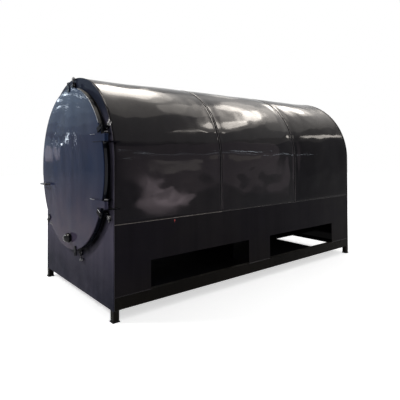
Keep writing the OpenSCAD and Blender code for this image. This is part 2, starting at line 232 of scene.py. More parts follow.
def gloss_paint(
    name, color, pale, ior, gloss, dust_and_sheen=0.25, wave=0.0, soot_and_reflection=0.0, low_film=SOOT_FILM, door_shade=0.0,
):
    """Sprayed gloss paint on sheet: clouded colour, dust, runs, scratches, chips and rust specks.

    The arguments after gloss are: how thickly dust lies on upper sides, on the door rim so
    thickly that it is a painted highlight of the light from above; the depth of the sheet's
    waves; how thick low_film is, which on the door is a painted reflection of the pale floor;
    and, for the plate round the door, how black its painted shadow is beside and under the
    door. Above the door such a plate gets painted shade, darker and bluer.
    """
    t = Tree(name)
    cloud = t.span(t.noise(1.7, 4.0, 0.55), 0.35, 0.7)
    shade = t.blend(cloud, color, pale)
    runs = t.span(t.noise(1.0, 3.0, 0.5, t.stretched(9.0, 9.0, 0.7)), 0.45, 0.75, 0.0, 0.45)
    shade = t.blend(runs, shade, tuple(0.55 * c for c in color))
    # Dust on upper sides; on the door rim it lies so thick that it is a painted highlight.
    dust_and_sheen_mask = t.math("MULTIPLY", t.up(), t.span(t.noise(5.0, 6.0, 0.65), 0.4, 0.75))
    specks = t.span(t.noise(160.0, 2.0, 0.6), 0.66, 0.72)
    film = t.math("MAXIMUM", t.math("MULTIPLY", dust_and_sheen_mask, dust_and_sheen), t.math("MULTIPLY", specks, 0.05))
    shade = t.blend(film, shade, DUST_AND_SHEEN_COLOR)
    # The low film: grime on most paints; on the door a lighter mauve, a painted reflection of the
    # pale floor.
    film_color, full_z, end_z = low_film
    low = t.span(t.height(), full_z, end_z, soot_and_reflection, 0.0)
    grime_and_reflection = t.math("MULTIPLY", low, t.span(t.noise(3.1, 5.0, 0.6), 0.25, 0.75, 0.35, 1.0))
    shade = t.blend(grime_and_reflection, shade, film_color)
    if door_shade:
        # Painted shadow: the plate black in a ring beside and under the door, where the door's
        # shadow falls.
        shadow_ring = t.near_door_axis(NECK_R + 0.035, NECK_R + 0.085)
        shadow_below = t.span(t.height(), DOOR_Z - 0.3, DOOR_Z + 0.45, door_shade, 0.0)
        patchy = t.span(t.noise(7.0, 4.0, 0.6), 0.25, 0.5, 0.6, 1.0)
        painted_door_shadow = t.math("MULTIPLY", t.math("MULTIPLY", shadow_ring, shadow_below), patchy)
        shade = t.blend(painted_door_shadow, shade, DOOR_SHADOW_COLOR)
        # Painted shade: the arch above the door darker and bluer.
        arch_shade = t.span(t.height(), DOOR_Z + 0.3, DOOR_Z + 0.65, 0.0, 0.9)
        shade = t.blend(arch_shade, shade, ARCH_SHADE_COLOR)
    chips = t.span(t.noise(55.0, 3.0, 0.7), 0.735, 0.76, 0.0, 0.8)
    shade = t.blend(chips, shade, CHIP_COLOR)
    scratch = t.span(t.noise(14.0, 2.0, 0.5, t.stretched(1.0, 1.3, 22.0)), 0.72, 0.76, 0.0, 0.3)
    shade = t.blend(scratch, shade, SCRATCH_COLOR)
    smear = t.span(t.noise(2.4, 5.0, 0.6, distort=0.6), 0.42, 0.75, gloss, gloss + 0.1)
    rough = t.math("ADD", smear, t.math("MULTIPLY", film, 0.5))
    rough = t.math("ADD", rough, t.math("MULTIPLY", chips, 0.4))
    rough = t.math("ADD", rough, t.math("MULTIPLY", t.up(), 0.07))
    peel = t.noise(420.0, 1.0, 0.5)
    sheet = t.noise(5.5, 2.0, 0.4)
    normal = t.bump(
        (sheet, wave), (peel, PEEL_DEPTH), (scratch, -SCRATCH_DEPTH), (chips, -CHIP_DEPTH),
    )
    return t.finish(shade, rough, normal, ior)


def sooty_steel(name, color, rust, rough=0.8, ior=1.3):
    """Bare plate that has been in the fire: scale, soot bloom and rust."""
    t = Tree(name)
    scale = t.noise(7.0, 7.0, 0.65)
    shade = t.blend(t.span(scale, 0.35, 0.7), color, tuple(2.2 * c for c in color))
    rusty = t.span(t.noise(3.4, 8.0, 0.7, distort=0.4), 0.55, 0.7, 0.0, 0.8)
    shade = t.blend(rusty, shade, rust)
    bloom = t.span(t.noise(1.3, 3.0, 0.5), 0.4, 0.62, 0.0, 0.7)
    shade = t.blend(bloom, shade, (0.006, 0.006, 0.006))
    grit = t.noise(190.0, 4.0, 0.7)
    normal = t.bump((scale, 0.0012), (grit, 0.0005))
    rough = t.span(grit, 0.2, 0.8, rough - 0.12, rough + 0.1)
    return t.finish(shade, rough, normal, ior, specular=0.3)


def worn_steel(name, color, rough=0.38):
    """Handled steel: brushed grain, dark film in the hollows."""
    t = Tree(name)
    grain = t.noise(60.0, 3.0, 0.6, t.stretched(1.0, 1.0, 9.0))
    film = t.span(t.noise(22.0, 5.0, 0.65), 0.38, 0.66)
    shade = t.blend(film, color, tuple(0.28 * c for c in color))
    rusty = t.span(t.noise(38.0, 4.0, 0.7), 0.6, 0.7, 0.0, 0.7)
    shade = t.blend(rusty, shade, (0.09, 0.04, 0.02))
    normal = t.bump((grain, 0.0002), (film, 0.0003))
    rough = t.span(film, 0.0, 1.0, rough, rough + 0.25)
    return t.finish(shade, rough, normal, ior=1.5, metallic=0.55)


def weld_metal(name, color, ior=1.18):
    """Painted-over weld metal with a little spatter."""
    t = Tree(name)
    knots = t.noise(240.0, 2.0, 0.6)
    cloud = t.span(t.noise(30.0, 4.0, 0.6), 0.4, 0.7)
    shade = t.blend(cloud, color, tuple(2.4 * c for c in color))
    normal = t.bump((knots, 0.0006))
    return t.finish(shade, t.span(knots, 0.3, 0.7, 0.25, 0.45), normal, ior)


def rope_fibre(name):
    """Braided mineral fibre packing, grey with soot."""
    t = Tree(name)
    strand = t.noise(420.0, 2.0, 0.5, t.stretched(1.0, 0.3, 1.0))
    soot_and_reflection = t.span(t.noise(9.0, 5.0, 0.6), 0.35, 0.65)
    shade = t.blend(soot_and_reflection, (0.22, 0.21, 0.19), (0.035, 0.032, 0.03))
    shade = t.blend(t.span(strand, 0.35, 0.6, 0.5, 0.0), shade, (0.02, 0.02, 0.02))
    return t.finish(shade, 0.95, t.bump((strand, 0.0012)), ior=1.3, specular=0.2)


SIDE_PAINT = gloss_paint(
    "side_paint", (0.0065, 0.0052, 0.0085), (0.013, 0.0102, 0.0125), ior=1.14, gloss=0.04,
    dust_and_sheen=0.16,
)
# A darker copy of the side paint for the rear panel: painted shade.
REAR_SHADED_PAINT = gloss_paint(
    "rear_shaded_paint", (0.0038, 0.0030, 0.0058), (0.008, 0.0063, 0.0085), ior=1.105, gloss=0.04,
    dust_and_sheen=0.16,
)
SKIRT_PAINT = gloss_paint(
    "skirt_paint", (0.0125, 0.0108, 0.0148), (0.0175, 0.0155, 0.0168), ior=1.07, gloss=0.05,
    dust_and_sheen=0.2, soot_and_reflection=0.5,
)
FRAME_PAINT = gloss_paint(
    "frame_paint", (0.004, 0.004, 0.0042), (0.007, 0.0065, 0.006), ior=1.08, gloss=0.25, soot_and_reflection=0.6,
)
# The front plate carries a painted shadow beside and under the door, and painted shade on the
# arch above it.
FRONT_PAINT = gloss_paint(
    "front_paint", (0.074, 0.068, 0.100), (0.098, 0.090, 0.120), ior=1.03, gloss=0.05,
    dust_and_sheen=0.1, wave=0.002, soot_and_reflection=0.95, low_film=((0.018, 0.020, 0.030), 0.34, 0.70), door_shade=0.95,
)
# The door's low film is a lighter mauve from its foot up to its middle: painted reflection of the
# pale floor.
DOOR_PAINT = gloss_paint(
    "door_paint", (0.0135, 0.026, 0.064), (0.026, 0.034, 0.072), ior=1.07, gloss=0.04,
    dust_and_sheen=0.05, soot_and_reflection=0.85, low_film=((0.092, 0.066, 0.088), 0.75, 1.45),
)
# The rim's thick dust paints its upper side light: a painted highlight of the light from above.
RIM_PAINT = gloss_paint(
    "rim_paint", (0.008, 0.010, 0.017), (0.014, 0.016, 0.022), ior=1.22, gloss=0.12, dust_and_sheen=2.2,
)
FITTING_PAINT = gloss_paint(
    "fitting_paint", (0.003, 0.003, 0.006), (0.006, 0.006, 0.010), ior=1.07, gloss=0.18, dust_and_sheen=0.3,
)
VENT_PAINT = gloss_paint(
    "vent_paint", (0.003, 0.003, 0.0045), (0.005, 0.005, 0.007), ior=1.3, gloss=0.03, dust_and_sheen=0.02,
)
SOOT = sooty_steel("sooty_steel", (0.012, 0.010, 0.009), (0.045, 0.02, 0.011))
# Darker and bluer than the other sooty steel: its own soot, and painted shade of the fire chamber
# it lies in.
ASH_SOOT_AND_SHADE = sooty_steel(
    "ash_floor_steel_and_shade", (0.0042, 0.0042, 0.0064), (0.012, 0.008, 0.007), rough=0.88, ior=1.08,
)
BARE = worn_steel("worn_steel", (0.24, 0.24, 0.25))
GRIP = worn_steel("grip_steel", (0.07, 0.07, 0.075), rough=0.32)
WELD_DARK = weld_metal("side_weld", (0.007, 0.006, 0.008))
WELD_SEAM = weld_metal("seam_weld", (0.010, 0.0085, 0.0095), ior=1.28)
WELD_HOOP = weld_metal("hoop_weld", (0.022, 0.019, 0.02), ior=1.36)
# A lighter weld colour: painted highlight.
WELD_HIGHLIGHT = weld_metal("highlight_weld", (0.10, 0.09, 0.085))
# Light steel colour for painted highlights along edges.
HIGHLIGHT_EDGE = weld_metal("highlight_edge", (0.30, 0.31, 0.33), ior=1.45)
WELD_BLUE = weld_metal("front_weld", (0.004, 0.004, 0.007), ior=1.1)
ROPE = rope_fibre("seal_rope")

# ---- Mesh building ----

PATH_STEP = 0.0035


def turns(count):
    """Even angles round a full turn."""
    return [math.tau * k / count for k in range(count)]


class Build:
    """Collects faces for one piece."""

    def __init__(self):
        self.points = []
        self.faces = []

    def ring(self, points):
        start = len(self.points)
        self.points.extend(points)
        return list(range(start, start + len(points)))

    def join(self, a, b, closed=True):
        """Faces between two rings of the same length."""
        count = len(a)
        for i in range(count if closed else count - 1):
            j = (i + 1) % count
            self.faces.append((a[i], a[j], b[j], b[i]))

    def cap(self, ring, flip=False):
        self.faces.append(tuple(reversed(ring)) if flip else tuple(ring))

    def tube(
        self, path, radius, sides=6, closed=False, ripple=0.0, pitch=1.0, flat=1.0, lean=None,
    ):
        """A bar along a path. ripple swells it at each pitch, like weld metal.

        flat squashes it in the direction that lean gives at a point.
        """
        count = len(path)
        rings = []
        run = 0.0
        for i, point in enumerate(path):
            before = path[i - 1] if (i or closed) else point
            after = path[(i + 1) % count] if (i < count - 1 or closed) else point
            along = (after - before).normalized()
            side = lean(point) if lean else Vector((0, 0, 1))
            if abs(side.dot(along)) > 0.95:
                side = Vector((1, 0, 0))
            side = (side - along * side.dot(along)).normalized()
            other = along.cross(side)
            run += (point - path[i - 1]).length if i else 0.0
            swell = radius * (1 + ripple * math.sin(math.tau * run / pitch))
            swell *= 1 + 0.5 * ripple * noise.noise(point * 40)
            rings.append(self.ring([
                point + side * (swell * flat * math.cos(a)) + other * (swell * math.sin(a))
                for a in turns(sides)
            ]))
        for a, b in zip(rings, rings[1:]):
            self.join(a, b)
        if closed:
            self.join(rings[-1], rings[0])
        else:
            self.cap(rings[0], True)
            self.cap(rings[-1])

    def lathe(self, at, axis, profile, sides=32):
        """Turns (distance along axis, radius) points round an axis."""
        axis = axis.normalized()
        side = axis.orthogonal().normalized()
        other = axis.cross(side)
        rings = [
            self.ring([
                at + axis * d + (side * math.cos(a) + other * math.sin(a)) * r
                for a in turns(sides)
            ])
            for d, r in profile
        ]
        for a, b in zip(rings, rings[1:]):
            self.join(a, b)
        self.cap(rings[0], True)
        self.cap(rings[-1])

    def sheet(self, columns, rows, place, keep=None):
        """A grid of place(column, row); keep says which cells stay."""
        index = [self.ring([place(c, r) for r in rows]) for c in columns]
        for i in range(len(columns) - 1):
            for j in range(len(rows) - 1):
                middle = ((columns[i] + columns[i + 1]) / 2, (rows[j] + rows[j + 1]) / 2)
                if keep is None or keep(*middle):
                    a, b = index[i], index[i + 1]
                    self.faces.append((a[j], b[j], b[j + 1], a[j + 1]))

    def make(self, name, material, body="furnace", slot="casing_paint", smooth=True):
        """The collected faces as a piece of the scene."""
        mesh = bpy.data.meshes.new(name)
        mesh.from_pydata([tuple(p) for p in self.points], [], self.faces)
        mesh.validate()
        mesh.polygons.foreach_set("use_smooth", [smooth] * len(mesh.polygons))
        mesh.materials.append(material)
        piece = bpy.data.objects.new(name, mesh)
        bpy.context.scene.collection.objects.link(piece)
        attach(piece, body)
        return piece


def steps(low, high, size):
    """Even steps from low to high, no longer than size."""
    count = max(1, math.ceil((high - low) / size))
    return [low + (high - low) * i / count for i in range(count + 1)]


def line(a, b, size=PATH_STEP):
    """Points from a to b, no further apart than size."""
    a, b = Vector(a), Vector(b)
    count = max(2, math.ceil((b - a).length / size))
    return [a.lerp(b, i / count) for i in range(count + 1)]


def circle(at, axis, radius, size=PATH_STEP):
    """Points round a circle, no further apart than size."""
    axis = Vector(axis).normalized()
    side = axis.orthogonal().normalized()
    other = axis.cross(side)
    angles = turns(max(16, math.ceil(math.tau * radius / size)))
    return [Vector(at) + (side * math.cos(a) + other * math.sin(a)) * radius for a in angles]


def ease(value, low, high):
    """0 up to low, 1 from high, and a smooth rise between them."""
    t = min(1.0, max(0.0, (value - low) / (high - low)))
    return t * t * (3 - 2 * t)


# ---- Rolled shell panels, with the dents and weld pull of thin sheet ----

SHELL_T = 0.006
# The mesh's longest steps: up a straight side, round the arch and along the panel
SIDE_CELL = 0.03
ARCH_CELL = 0.026
LONG_CELL = 0.028
# How far a weld's pull draws the sheet in, how far from the seam, and how soon it sets in
PULL = 0.003
PULL_WIDTH = 0.05
PULL_RISE = 0.03
# How deep a hoop seam lies, how much that varies, and how far above its foot it is that deep
SEAM_DIP = 0.0042
SEAM_VARIES = 0.003
SEAM_RISE = 0.25
# How near an end plate a seam is the plate's edge
AT_END = 0.01
# Depths of the dents: the mean, then the wide, small and fine ones
BELLY = 0.0032
WIDE_DENT = 0.006
SMALL_DENT = 0.0038
FINE_DENT = 0.0015
# How far above its foot a panel is dented fully, how far from a seam, and how much that varies
DENT_RISE = 0.2
DENT_REACH = 0.26
REACH_VARIES = 0.1
STRAIGHT = ARCH_Z - SEAM_Z
ARC = math.pi * SHELL_R
GIRTH = 2 * STRAIGHT + ARC


def on_shell(run, y, inward=0.0):
    """The point at a distance along the shell's section, from its right foot over the top."""
    radius = SHELL_R - inward
    if run <= STRAIGHT:
        return Vector((MID_X + radius, y, SEAM_Z + run))
    if run >= STRAIGHT + ARC:
        return Vector((MID_X - radius, y, SEAM_Z + GIRTH - run))
    angle = (run - STRAIGHT) / SHELL_R
    return Vector((MID_X + radius * math.cos(angle), y, ARCH_Z + radius * math.sin(angle)))


def seam_depth(run, y):
    """How far a hoop seam is pulled in. At the end plates it isn't."""
    if y - PLATE_BACK < AT_END or REAR_LOW.y - y < AT_END:
        return 0.0
    wave = noise.noise(Vector((run * 2.1, y, 7.7)))
    return (SEAM_DIP + SEAM_VARIES * wave) * ease(min(run, GIRTH - run), 0.0, SEAM_RISE)


def dent_depth(run, y, y0, y1):
    """How far a panel's surface lies inside its rolled shape."""
    wide = noise.noise(Vector((run * 1.7, y * 1.5, 3.7)))
    small = noise.noise(Vector((run * 3.9, y * 3.1, 9.1)))
    fine = noise.noise(Vector((run * 9.0, y * 7.0, 5.3)))
    belly = BELLY + WIDE_DENT * wide + SMALL_DENT * small + FINE_DENT * fine
    belly = max(0.0, belly) * ease(min(run, GIRTH - run), 0.0, DENT_RISE)
    for end in (y0, y1):
        pull = PULL * (0.75 + 0.5 * noise.noise(Vector((run * 5.0, end, 1.3))))
        gap = abs(y - end)
        reach = DENT_REACH + REACH_VARIES * noise.noise(Vector((run * 1.6, end, 4.1)))
        rest = seam_depth(run, end)
        belly = rest + (belly - rest) * ease(gap, 0.0, reach)
        if rest:
            hump = math.exp(-((gap - PULL_WIDTH) / PULL_WIDTH) ** 2)
            belly += pull * hump * ease(gap, 0.0, PULL_RISE)
    return max(0.0, belly)


def make_shell():
    """Three rolled panels, each with its outer and inner skin."""
    runs = steps(0.0, STRAIGHT, SIDE_CELL)[:-1]
    runs += steps(STRAIGHT, STRAIGHT + ARC, ARCH_CELL)[:-1]
    runs += steps(STRAIGHT + ARC, GIRTH, SIDE_CELL)
    for name in ("front", "middle", "rear"):
        low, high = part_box("shell_panel_" + name)
        ys = steps(low.y, high.y, LONG_CELL)
        build = Build()
        outer, inner = [
            [
                build.ring([on_shell(s, y, skin + dent_depth(s, y, low.y, high.y)) for s in runs])
                for y in ys
            ]
            for skin in (0.0, SHELL_T)
        ]
        pairs = [*zip(outer, outer[1:]), *zip(inner[1:], inner)]
        pairs += [(outer[-1], inner[-1]), (inner[0], outer[0])]
        for a, b in pairs:
            build.join(a, b, closed=False)
        for end in (0, -1):
            foot = [ring[end] for ring in inner], [ring[end] for ring in outer]
            build.join(*(foot if end else foot[::-1]), closed=False)
        piece = build.make("dented_shell_" + name, REAR_SHADED_PAINT if name == "rear" else SIDE_PAINT)
        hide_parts("shell_panel_" + name)


def sharpen_outline(piece):
    """Keeps a sheet's cut edges crisp, so that its flat face isn't shaded round them."""
    uses = Counter(key for face in piece.data.polygons for key in face.edge_keys)
    for edge in piece.data.edges:
        edge.use_edge_sharp = uses[edge.key] == 1


SKIRT_CELL = 0.035
# How deep the skirts' waves are, and how far in from the edges they are that deep
SKIRT_WAVE = 0.0026
SKIRT_RISE = 0.1


def make_skirts():
    """Each side's skirt is one sheet with its two fire openings cut out."""
    ys = POST_YS
    columns = []
    for a, b in zip(ys, ys[1:]):
        columns += steps(a, b, SKIRT_CELL)[:-1]
    columns.append(ys[-1])
    rows = steps(RAIL_HIGH.z, FIRE_TOP_Z, SKIRT_CELL)[:-1]
    rows += steps(FIRE_TOP_Z, SEAM_Z, SKIRT_CELL)
    gaps = list(zip(ys[1::2], ys[2::2]))

    def solid(y, z):
        return z > FIRE_TOP_Z or not any(a < y < b for a, b in gaps)

    for side, word in ((1, "right"), (-1, "left")):
        def place(y, z):
            wave = SKIRT_WAVE * (0.8 + noise.noise(Vector((y * 2.6, z * 3.2, 5.0 * side))))
            edge = min(y - ys[0], ys[-1] - y, SEAM_Z - z, z - RAIL_HIGH.z)
            wave *= ease(edge, 0.0, SKIRT_RISE)
            return Vector((MID_X + side * (SHELL_R - wave), y, z))

        build = Build()
        order = columns if side > 0 else columns[::-1]
        build.sheet(order, rows, place, solid)
        piece = build.make("skirt_sheet_" + word, SKIRT_PAINT)
        sharpen_outline(piece)
        thick = piece.modifiers.new("thickness", "SOLIDIFY")
        thick.thickness = SHELL_T
        thick.offset = -1
        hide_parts(word + "_skirt_band", word + "_skirt_posts")


# ---- Door face ----

# Fine enough for the mirrored lamps to bend smoothly
DISC_SIDES = 320
DISC_CELL = 0.014
LAST_CELL = 0.01
DISC_EDGE = 0.003
# Depths of the buckles, and how far in from the edge they begin and are full
BUCKLE = 0.0042
FINE_BUCKLE = 0.0016
BUCKLE_FROM = 0.06
BUCKLE_FULL = 0.32


def make_door_disc():
    """A buckled sheet disc with an eased edge. Towards its edge it is flat."""
    turn = turns(DISC_SIDES)

    def point(radius, angle, y):
        return Vector((MID_X + radius * math.cos(angle), y, DOOR_Z + radius * math.sin(angle)))

    def buckle(radius, angle):
        p = Vector((radius * math.cos(angle), radius * math.sin(angle), 2.0))
        fine = noise.noise(Vector((p.x * 6.5 + p.y * 2.0, p.y * 2.6, 5.0)))
        depth = BUCKLE * (0.8 + noise.noise(p * 2.3)) + FINE_BUCKLE * fine
        return max(0.0, depth) * ease(DOOR_R - radius, BUCKLE_FROM, BUCKLE_FULL)

    build = Build()
    radii = steps(0.0, DOOR_R - 2 * LAST_CELL, DISC_CELL)[1:]
    radii += [DOOR_R - LAST_CELL, DOOR_R - DISC_EDGE]
    centre = build.ring([point(0.0, 0.0, FACE_Y + buckle(0.0, 0.0))])[0]
    last = None
    for radius in radii:
        ring = build.ring([point(radius, a, FACE_Y + buckle(radius, a)) for a in turn])
        if last is None:
            for i in range(DISC_SIDES):
                build.faces.append((ring[(i + 1) % DISC_SIDES], ring[i], centre))
        else:
            build.join(last, ring)
        last = ring
    ease_in = DISC_EDGE * 0.3
    rim = [(DOOR_R - ease_in, FACE_Y + ease_in), (DOOR_R, FACE_Y + DISC_EDGE), (DOOR_R, DISC_Y)]
    for radius, y in rim:
        ring = build.ring([point(radius, a, y) for a in turn])
        build.join(last, ring)
        last = ring
    build.cap(last)
    piece = build.make("buckled_door_disc", DOOR_PAINT, "door", "door_paint")
    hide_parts("door_disc")


# ---- Weld beads ----

BEAD = 0.0038
HOOP_BEAD = 0.0048
FITTING_BEAD = 0.0032
THIN_BEAD = 0.003
RIM_BEAD = 0.0026
VENT_BEAD = 0.0035
BEAD_RIPPLE = 0.17
BEAD_PITCH = 0.009
BEAD_FLAT = 0.6
HOOP_FLAT = 0.45
SEAM_FLAT = 0.5
WELD_STEP = 0.0045


def outward(point):
    """The casing's outward direction at a point on it."""
    if point.z < ARCH_Z:
        return Vector((math.copysign(1.0, point.x - MID_X), 0, 0))
    return Vector((point.x - MID_X, 0, point.z - ARCH_Z)).normalized()


def arch_path(y):
    """Round an end plate's edge: up the right side, over the top and down the left side."""
    right, left = MID_X + SHELL_R, MID_X - SHELL_R
    path = line((right, y, RAIL_LOW.z), (right, y, ARCH_Z), WELD_STEP)[:-1]
    for angle in steps(0.0, math.pi, WELD_STEP / SHELL_R):
        x, z = MID_X + SHELL_R * math.cos(angle), ARCH_Z + SHELL_R * math.sin(angle)
        path.append(Vector((x, y, z)))
    return path + line((left, y, ARCH_Z), (left, y, RAIL_LOW.z), WELD_STEP)[1:]


def weld(build, path, size=BEAD, closed=False, lean=None, flat=BEAD_FLAT):
    """A weld bead. With lean, flat is how far it stands out that way for its width."""
    build.tube(path, size, 6, closed, BEAD_RIPPLE, BEAD_PITCH, flat, lean)


def make_casing_welds():
    """The two hoop seams, the end plates' edges, and the skirts' top and foot."""
    build = Build()
    for name in ("front", "middle"):
        seam_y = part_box("shell_panel_" + name)[1].y
        runs = steps(0.0, GIRTH, WELD_STEP)
        path = [on_shell(run, seam_y, seam_depth(run, seam_y)) for run in runs]
        weld(build, path, HOOP_BEAD, lean=outward, flat=HOOP_FLAT)
    build.make("hoop_welds", WELD_SEAM)

    build = Build()
    for y in (PLATE_BACK, REAR_LOW.y):
        weld(build, arch_path(y), lean=outward)
    build.make("end_plate_welds", WELD_HOOP)

    # The side seam's front stretch is a lighter weld, a painted highlight; behind the first hoop
    # seam it is dark.
    first_seam = PANEL_HIGH.y
    bright, dark = Build(), Build()
    for side in (1, -1):
        x = MID_X + side * SHELL_R
        for build, y0, y1 in ((bright, PLATE_BACK, first_seam), (dark, first_seam, REAR_LOW.y)):
            seam = line((x, y0, SEAM_Z), (x, y1, SEAM_Z), WELD_STEP)
            weld(build, seam, lean=outward, flat=SEAM_FLAT)
        for y0, y1 in zip(POST_YS[::2], POST_YS[1::2]):
            weld(dark, line((x, y0, RAIL_HIGH.z), (x, y1, RAIL_HIGH.z), WELD_STEP), lean=outward)
    bright.make("seam_weld_front", WELD_HIGHLIGHT)
    dark.make("skirt_welds", WELD_DARK)


LEG_WELD_STEP = 0.004
LEG_WELD_IN = 0.001


def square_path(x, y, z, half):
    """Round a square post."""
    corners = [(half, -half), (half, half), (-half, half), (-half, -half), (half, -half)]
    path = []
    for (a, b), (c, d) in zip(corners, corners[1:]):
        path += line((x + a, y + b, z), (x + c, y + d, z), LEG_WELD_STEP)[:-1]
    return path


def make_leg_welds():
    """Round each leg's top, under the casing, and its foot."""
    low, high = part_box("leg_posts")
    xs = corners_along("leg_posts", 0)
    half = (xs[3] - xs[0]) / 2
    build = Build()
    for x in (low.x + half, high.x - half):
        for y in (low.y + half, high.y - half):
            for z in (low.z + LEG_WELD_IN, high.z - LEG_WELD_IN):
                weld(build, square_path(x, y, z, half), THIN_BEAD, closed=True)
    build.make("leg_welds", WELD_DARK)


# Each clamp's body, its angle round the door and its pivot
CLAMPS = {}
for joint in frame["record"]["behaviour"]["joints"]:
    if joint["name"].startswith("clamp_"):
        turn_axis = joint["axis"]
        CLAMPS[joint["child"]] = (math.atan2(turn_axis[0], -turn_axis[2]), Vector(joint["pos_m"]))

# The clamps' pivot plates on the front plate, and their slotted lugs on the door
LUG_SIDE = 0.019
LUG_HALF = 0.03
CLAMP_R = DOOR_R + 0.04
DOOR_LUG_IN = 0.04
DOOR_LUG_HALF = 0.025
EDGE_IN = 0.002
# The hinges' straps on the door, and the plates on the front plate above and below each
STRAP_H = 0.07
HINGE_GAP = 0.002
HINGE_LUG_T = 0.012
HINGE_ROOT_IN = 0.018
VENT_R = 0.042
HANDLE_R = 0.011
HANDLE_BEAD = 0.0028
# How far outside its edge a bead's middle lies
OUTSIDE = 0.001


def polar(angle, radius, aside, y):
    """A point near the door's rim: out along the angle, aside across it."""
    return CENTRE + Vector((
        radius * math.cos(angle) - aside * math.sin(angle),
        y,
        radius * math.sin(angle) + aside * math.cos(angle),
    ))


def make_front_welds():
    """Round the neck, and beside the pivot plates of the clamps and hinges."""
    build = Build()
    at = (MID_X, FRONT_Y, DOOR_Z)
    weld(build, circle(at, (0, 1, 0), NECK_R + OUTSIDE, WELD_STEP), closed=True)
    for angle, _ in CLAMPS.values():
        for side in (LUG_SIDE, -LUG_SIDE):
            ends = [polar(angle, CLAMP_R + end, side, FRONT_Y) for end in (-LUG_HALF, LUG_HALF)]
            weld(build, line(*ends), FITTING_BEAD)
    low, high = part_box("hinge_lugs")
    low_strap, high_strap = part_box("door_hinge_straps")
    root = NECK_R - HINGE_ROOT_IN + MID_X
    past = STRAP_H + HINGE_GAP
    beyond = past + HINGE_LUG_T
    for z in (low.z, low.z + HINGE_LUG_T, low_strap.z + past, low_strap.z + beyond):
        weld(build, line((root, FRONT_Y, z), (MID_X + HALF_W, FRONT_Y, z)), THIN_BEAD)
    for z in (high.z, high.z - HINGE_LUG_T, high_strap.z - past, high_strap.z - beyond):
        edge = math.sqrt(HALF_W**2 - (z - ARCH_Z) ** 2)
        weld(build, line((root, FRONT_Y, z), (MID_X + edge, FRONT_Y, z)), THIN_BEAD)
    build.make("front_welds", WELD_BLUE, "furnace", "front_paint")


def make_door_welds():
    """Round the disc's back edge, the lugs, the straps, the vent and the handle's posts."""
    build = Build()
    at = (MID_X, DISC_Y, DOOR_Z)
    weld(build, circle(at, (0, 1, 0), DOOR_R, WELD_STEP), RIM_BEAD, closed=True)
    for angle, _ in CLAMPS.values():
        inner = DOOR_R - DOOR_LUG_IN
        corners = [
            polar(angle, DOOR_R - EDGE_IN, -DOOR_LUG_HALF, FACE_Y),
            polar(angle, inner, -DOOR_LUG_HALF, FACE_Y),
            polar(angle, inner, DOOR_LUG_HALF, FACE_Y),
            polar(angle, DOOR_R - EDGE_IN, DOOR_LUG_HALF, FACE_Y),
        ]
        for a, b in zip(corners, corners[1:]):
            weld(build, line(a, b), FITTING_BEAD)
    low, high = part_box("door_hinge_straps")
    for z0 in (low.z, high.z - STRAP_H):
        for z in (z0, z0 + STRAP_H):
            edge = MID_X + math.sqrt(DOOR_R**2 - (z - DOOR_Z) ** 2)
            weld(build, line((low.x, FACE_Y, z), (edge, FACE_Y, z)), FITTING_BEAD)
        weld(build, line((low.x, FACE_Y, z0), (low.x, FACE_Y, z0 + STRAP_H)), FITTING_BEAD)
    low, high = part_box("door_vent")
    at = ((low.x + high.x) / 2, FACE_Y, (low.z + high.z) / 2)
    weld(build, circle(at, (0, 1, 0), VENT_R + OUTSIDE), VENT_BEAD, closed=True)
    low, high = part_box("door_handle")
    middle = (low.z + high.z) / 2
    for x in (low.x + HANDLE_R, high.x - HANDLE_R):
        ring = circle((x, FACE_Y, middle), (0, 1, 0), HANDLE_R + OUTSIDE, size=0.002)
        weld(build, ring, HANDLE_BEAD, closed=True)
    build.make("door_welds", WELD_BLUE, "door", "door_paint")


# Where a painted highlight runs along the door's edge, in degrees, and how far in from its corner
# that lies
HIGHLIGHT_ARC = (31.0, 74.0)
HIGHLIGHT_IN = 0.0015
# The stretch of a strap's upper edge with a painted highlight, from its tip
HIGHLIGHT_STRAP = (0.004, 0.11)
# Painted highlight lines on two clamps' lugs: the clamp's angle, then each end, out from the
# centre and aside
HIGHLIGHT_LUGS = [
    (-135, (0.884, -0.022), (0.884, 0.022)),
    (-27, (0.88, 0.022), (0.94, 0.022)),
]
HIGHLIGHT_BEAD = 0.0035


def make_highlight_edges():
    """Bright lines on the straps' upper edges, the door's upper-right edge and two lugs: painted
    highlights.
    """
    build = Build()
    low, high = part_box("door_hinge_straps")
    front = low.y + OUTSIDE
    for top in (low.z + STRAP_H, high.z):
        ends = [(low.x + along, front, top) for along in HIGHLIGHT_STRAP]
        weld(build, line(*ends), THIN_BEAD)
    build.make("strap_edge_highlight", HIGHLIGHT_EDGE, "door", "bare_steel")

    build = Build()
    angles = steps(math.radians(HIGHLIGHT_ARC[0]), math.radians(HIGHLIGHT_ARC[1]), 0.005)
    path = [polar(a, DOOR_R - HIGHLIGHT_IN, 0.0, FACE_Y + HIGHLIGHT_IN) for a in angles]
    weld(build, path, FITTING_BEAD)
    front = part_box("door_clamp_lugs")[0].y + OUTSIDE
    for degrees, start, end in HIGHLIGHT_LUGS:
        ends = [polar(math.radians(degrees), *place, front) for place in (start, end)]
        weld(build, line(*ends), HIGHLIGHT_BEAD)
    build.make("door_edge_highlight", HIGHLIGHT_EDGE, "door", "bare_steel")


# ---- Clamps, pins and seal ----

# A clamp's bolt and T-bar nut, by their distance out from its pivot
BOLT_R = 0.008
THREAD_PITCH = 0.0025
THREAD_R = 0.0009
THREAD_SIDES = 20
THREAD_SPANS = [(0.034, 0.067), (0.0885, 0.0925)]
BAR_AT = 0.078
BAR_HALF = 0.033
WASHER_AT = 0.0655
BAR_END = [(-0.006, 0.003), (-0.005, 0.0066), (-0.001, 0.0085), (0.0015, 0.0075), (0.002, 0.003)]
WASHER = [
    (0.0, 0.0145), (0.0, 0.0185), (0.001, 0.0195), (0.0026, 0.0195), (0.003, 0.0185),
    (0.003, 0.0145),
]
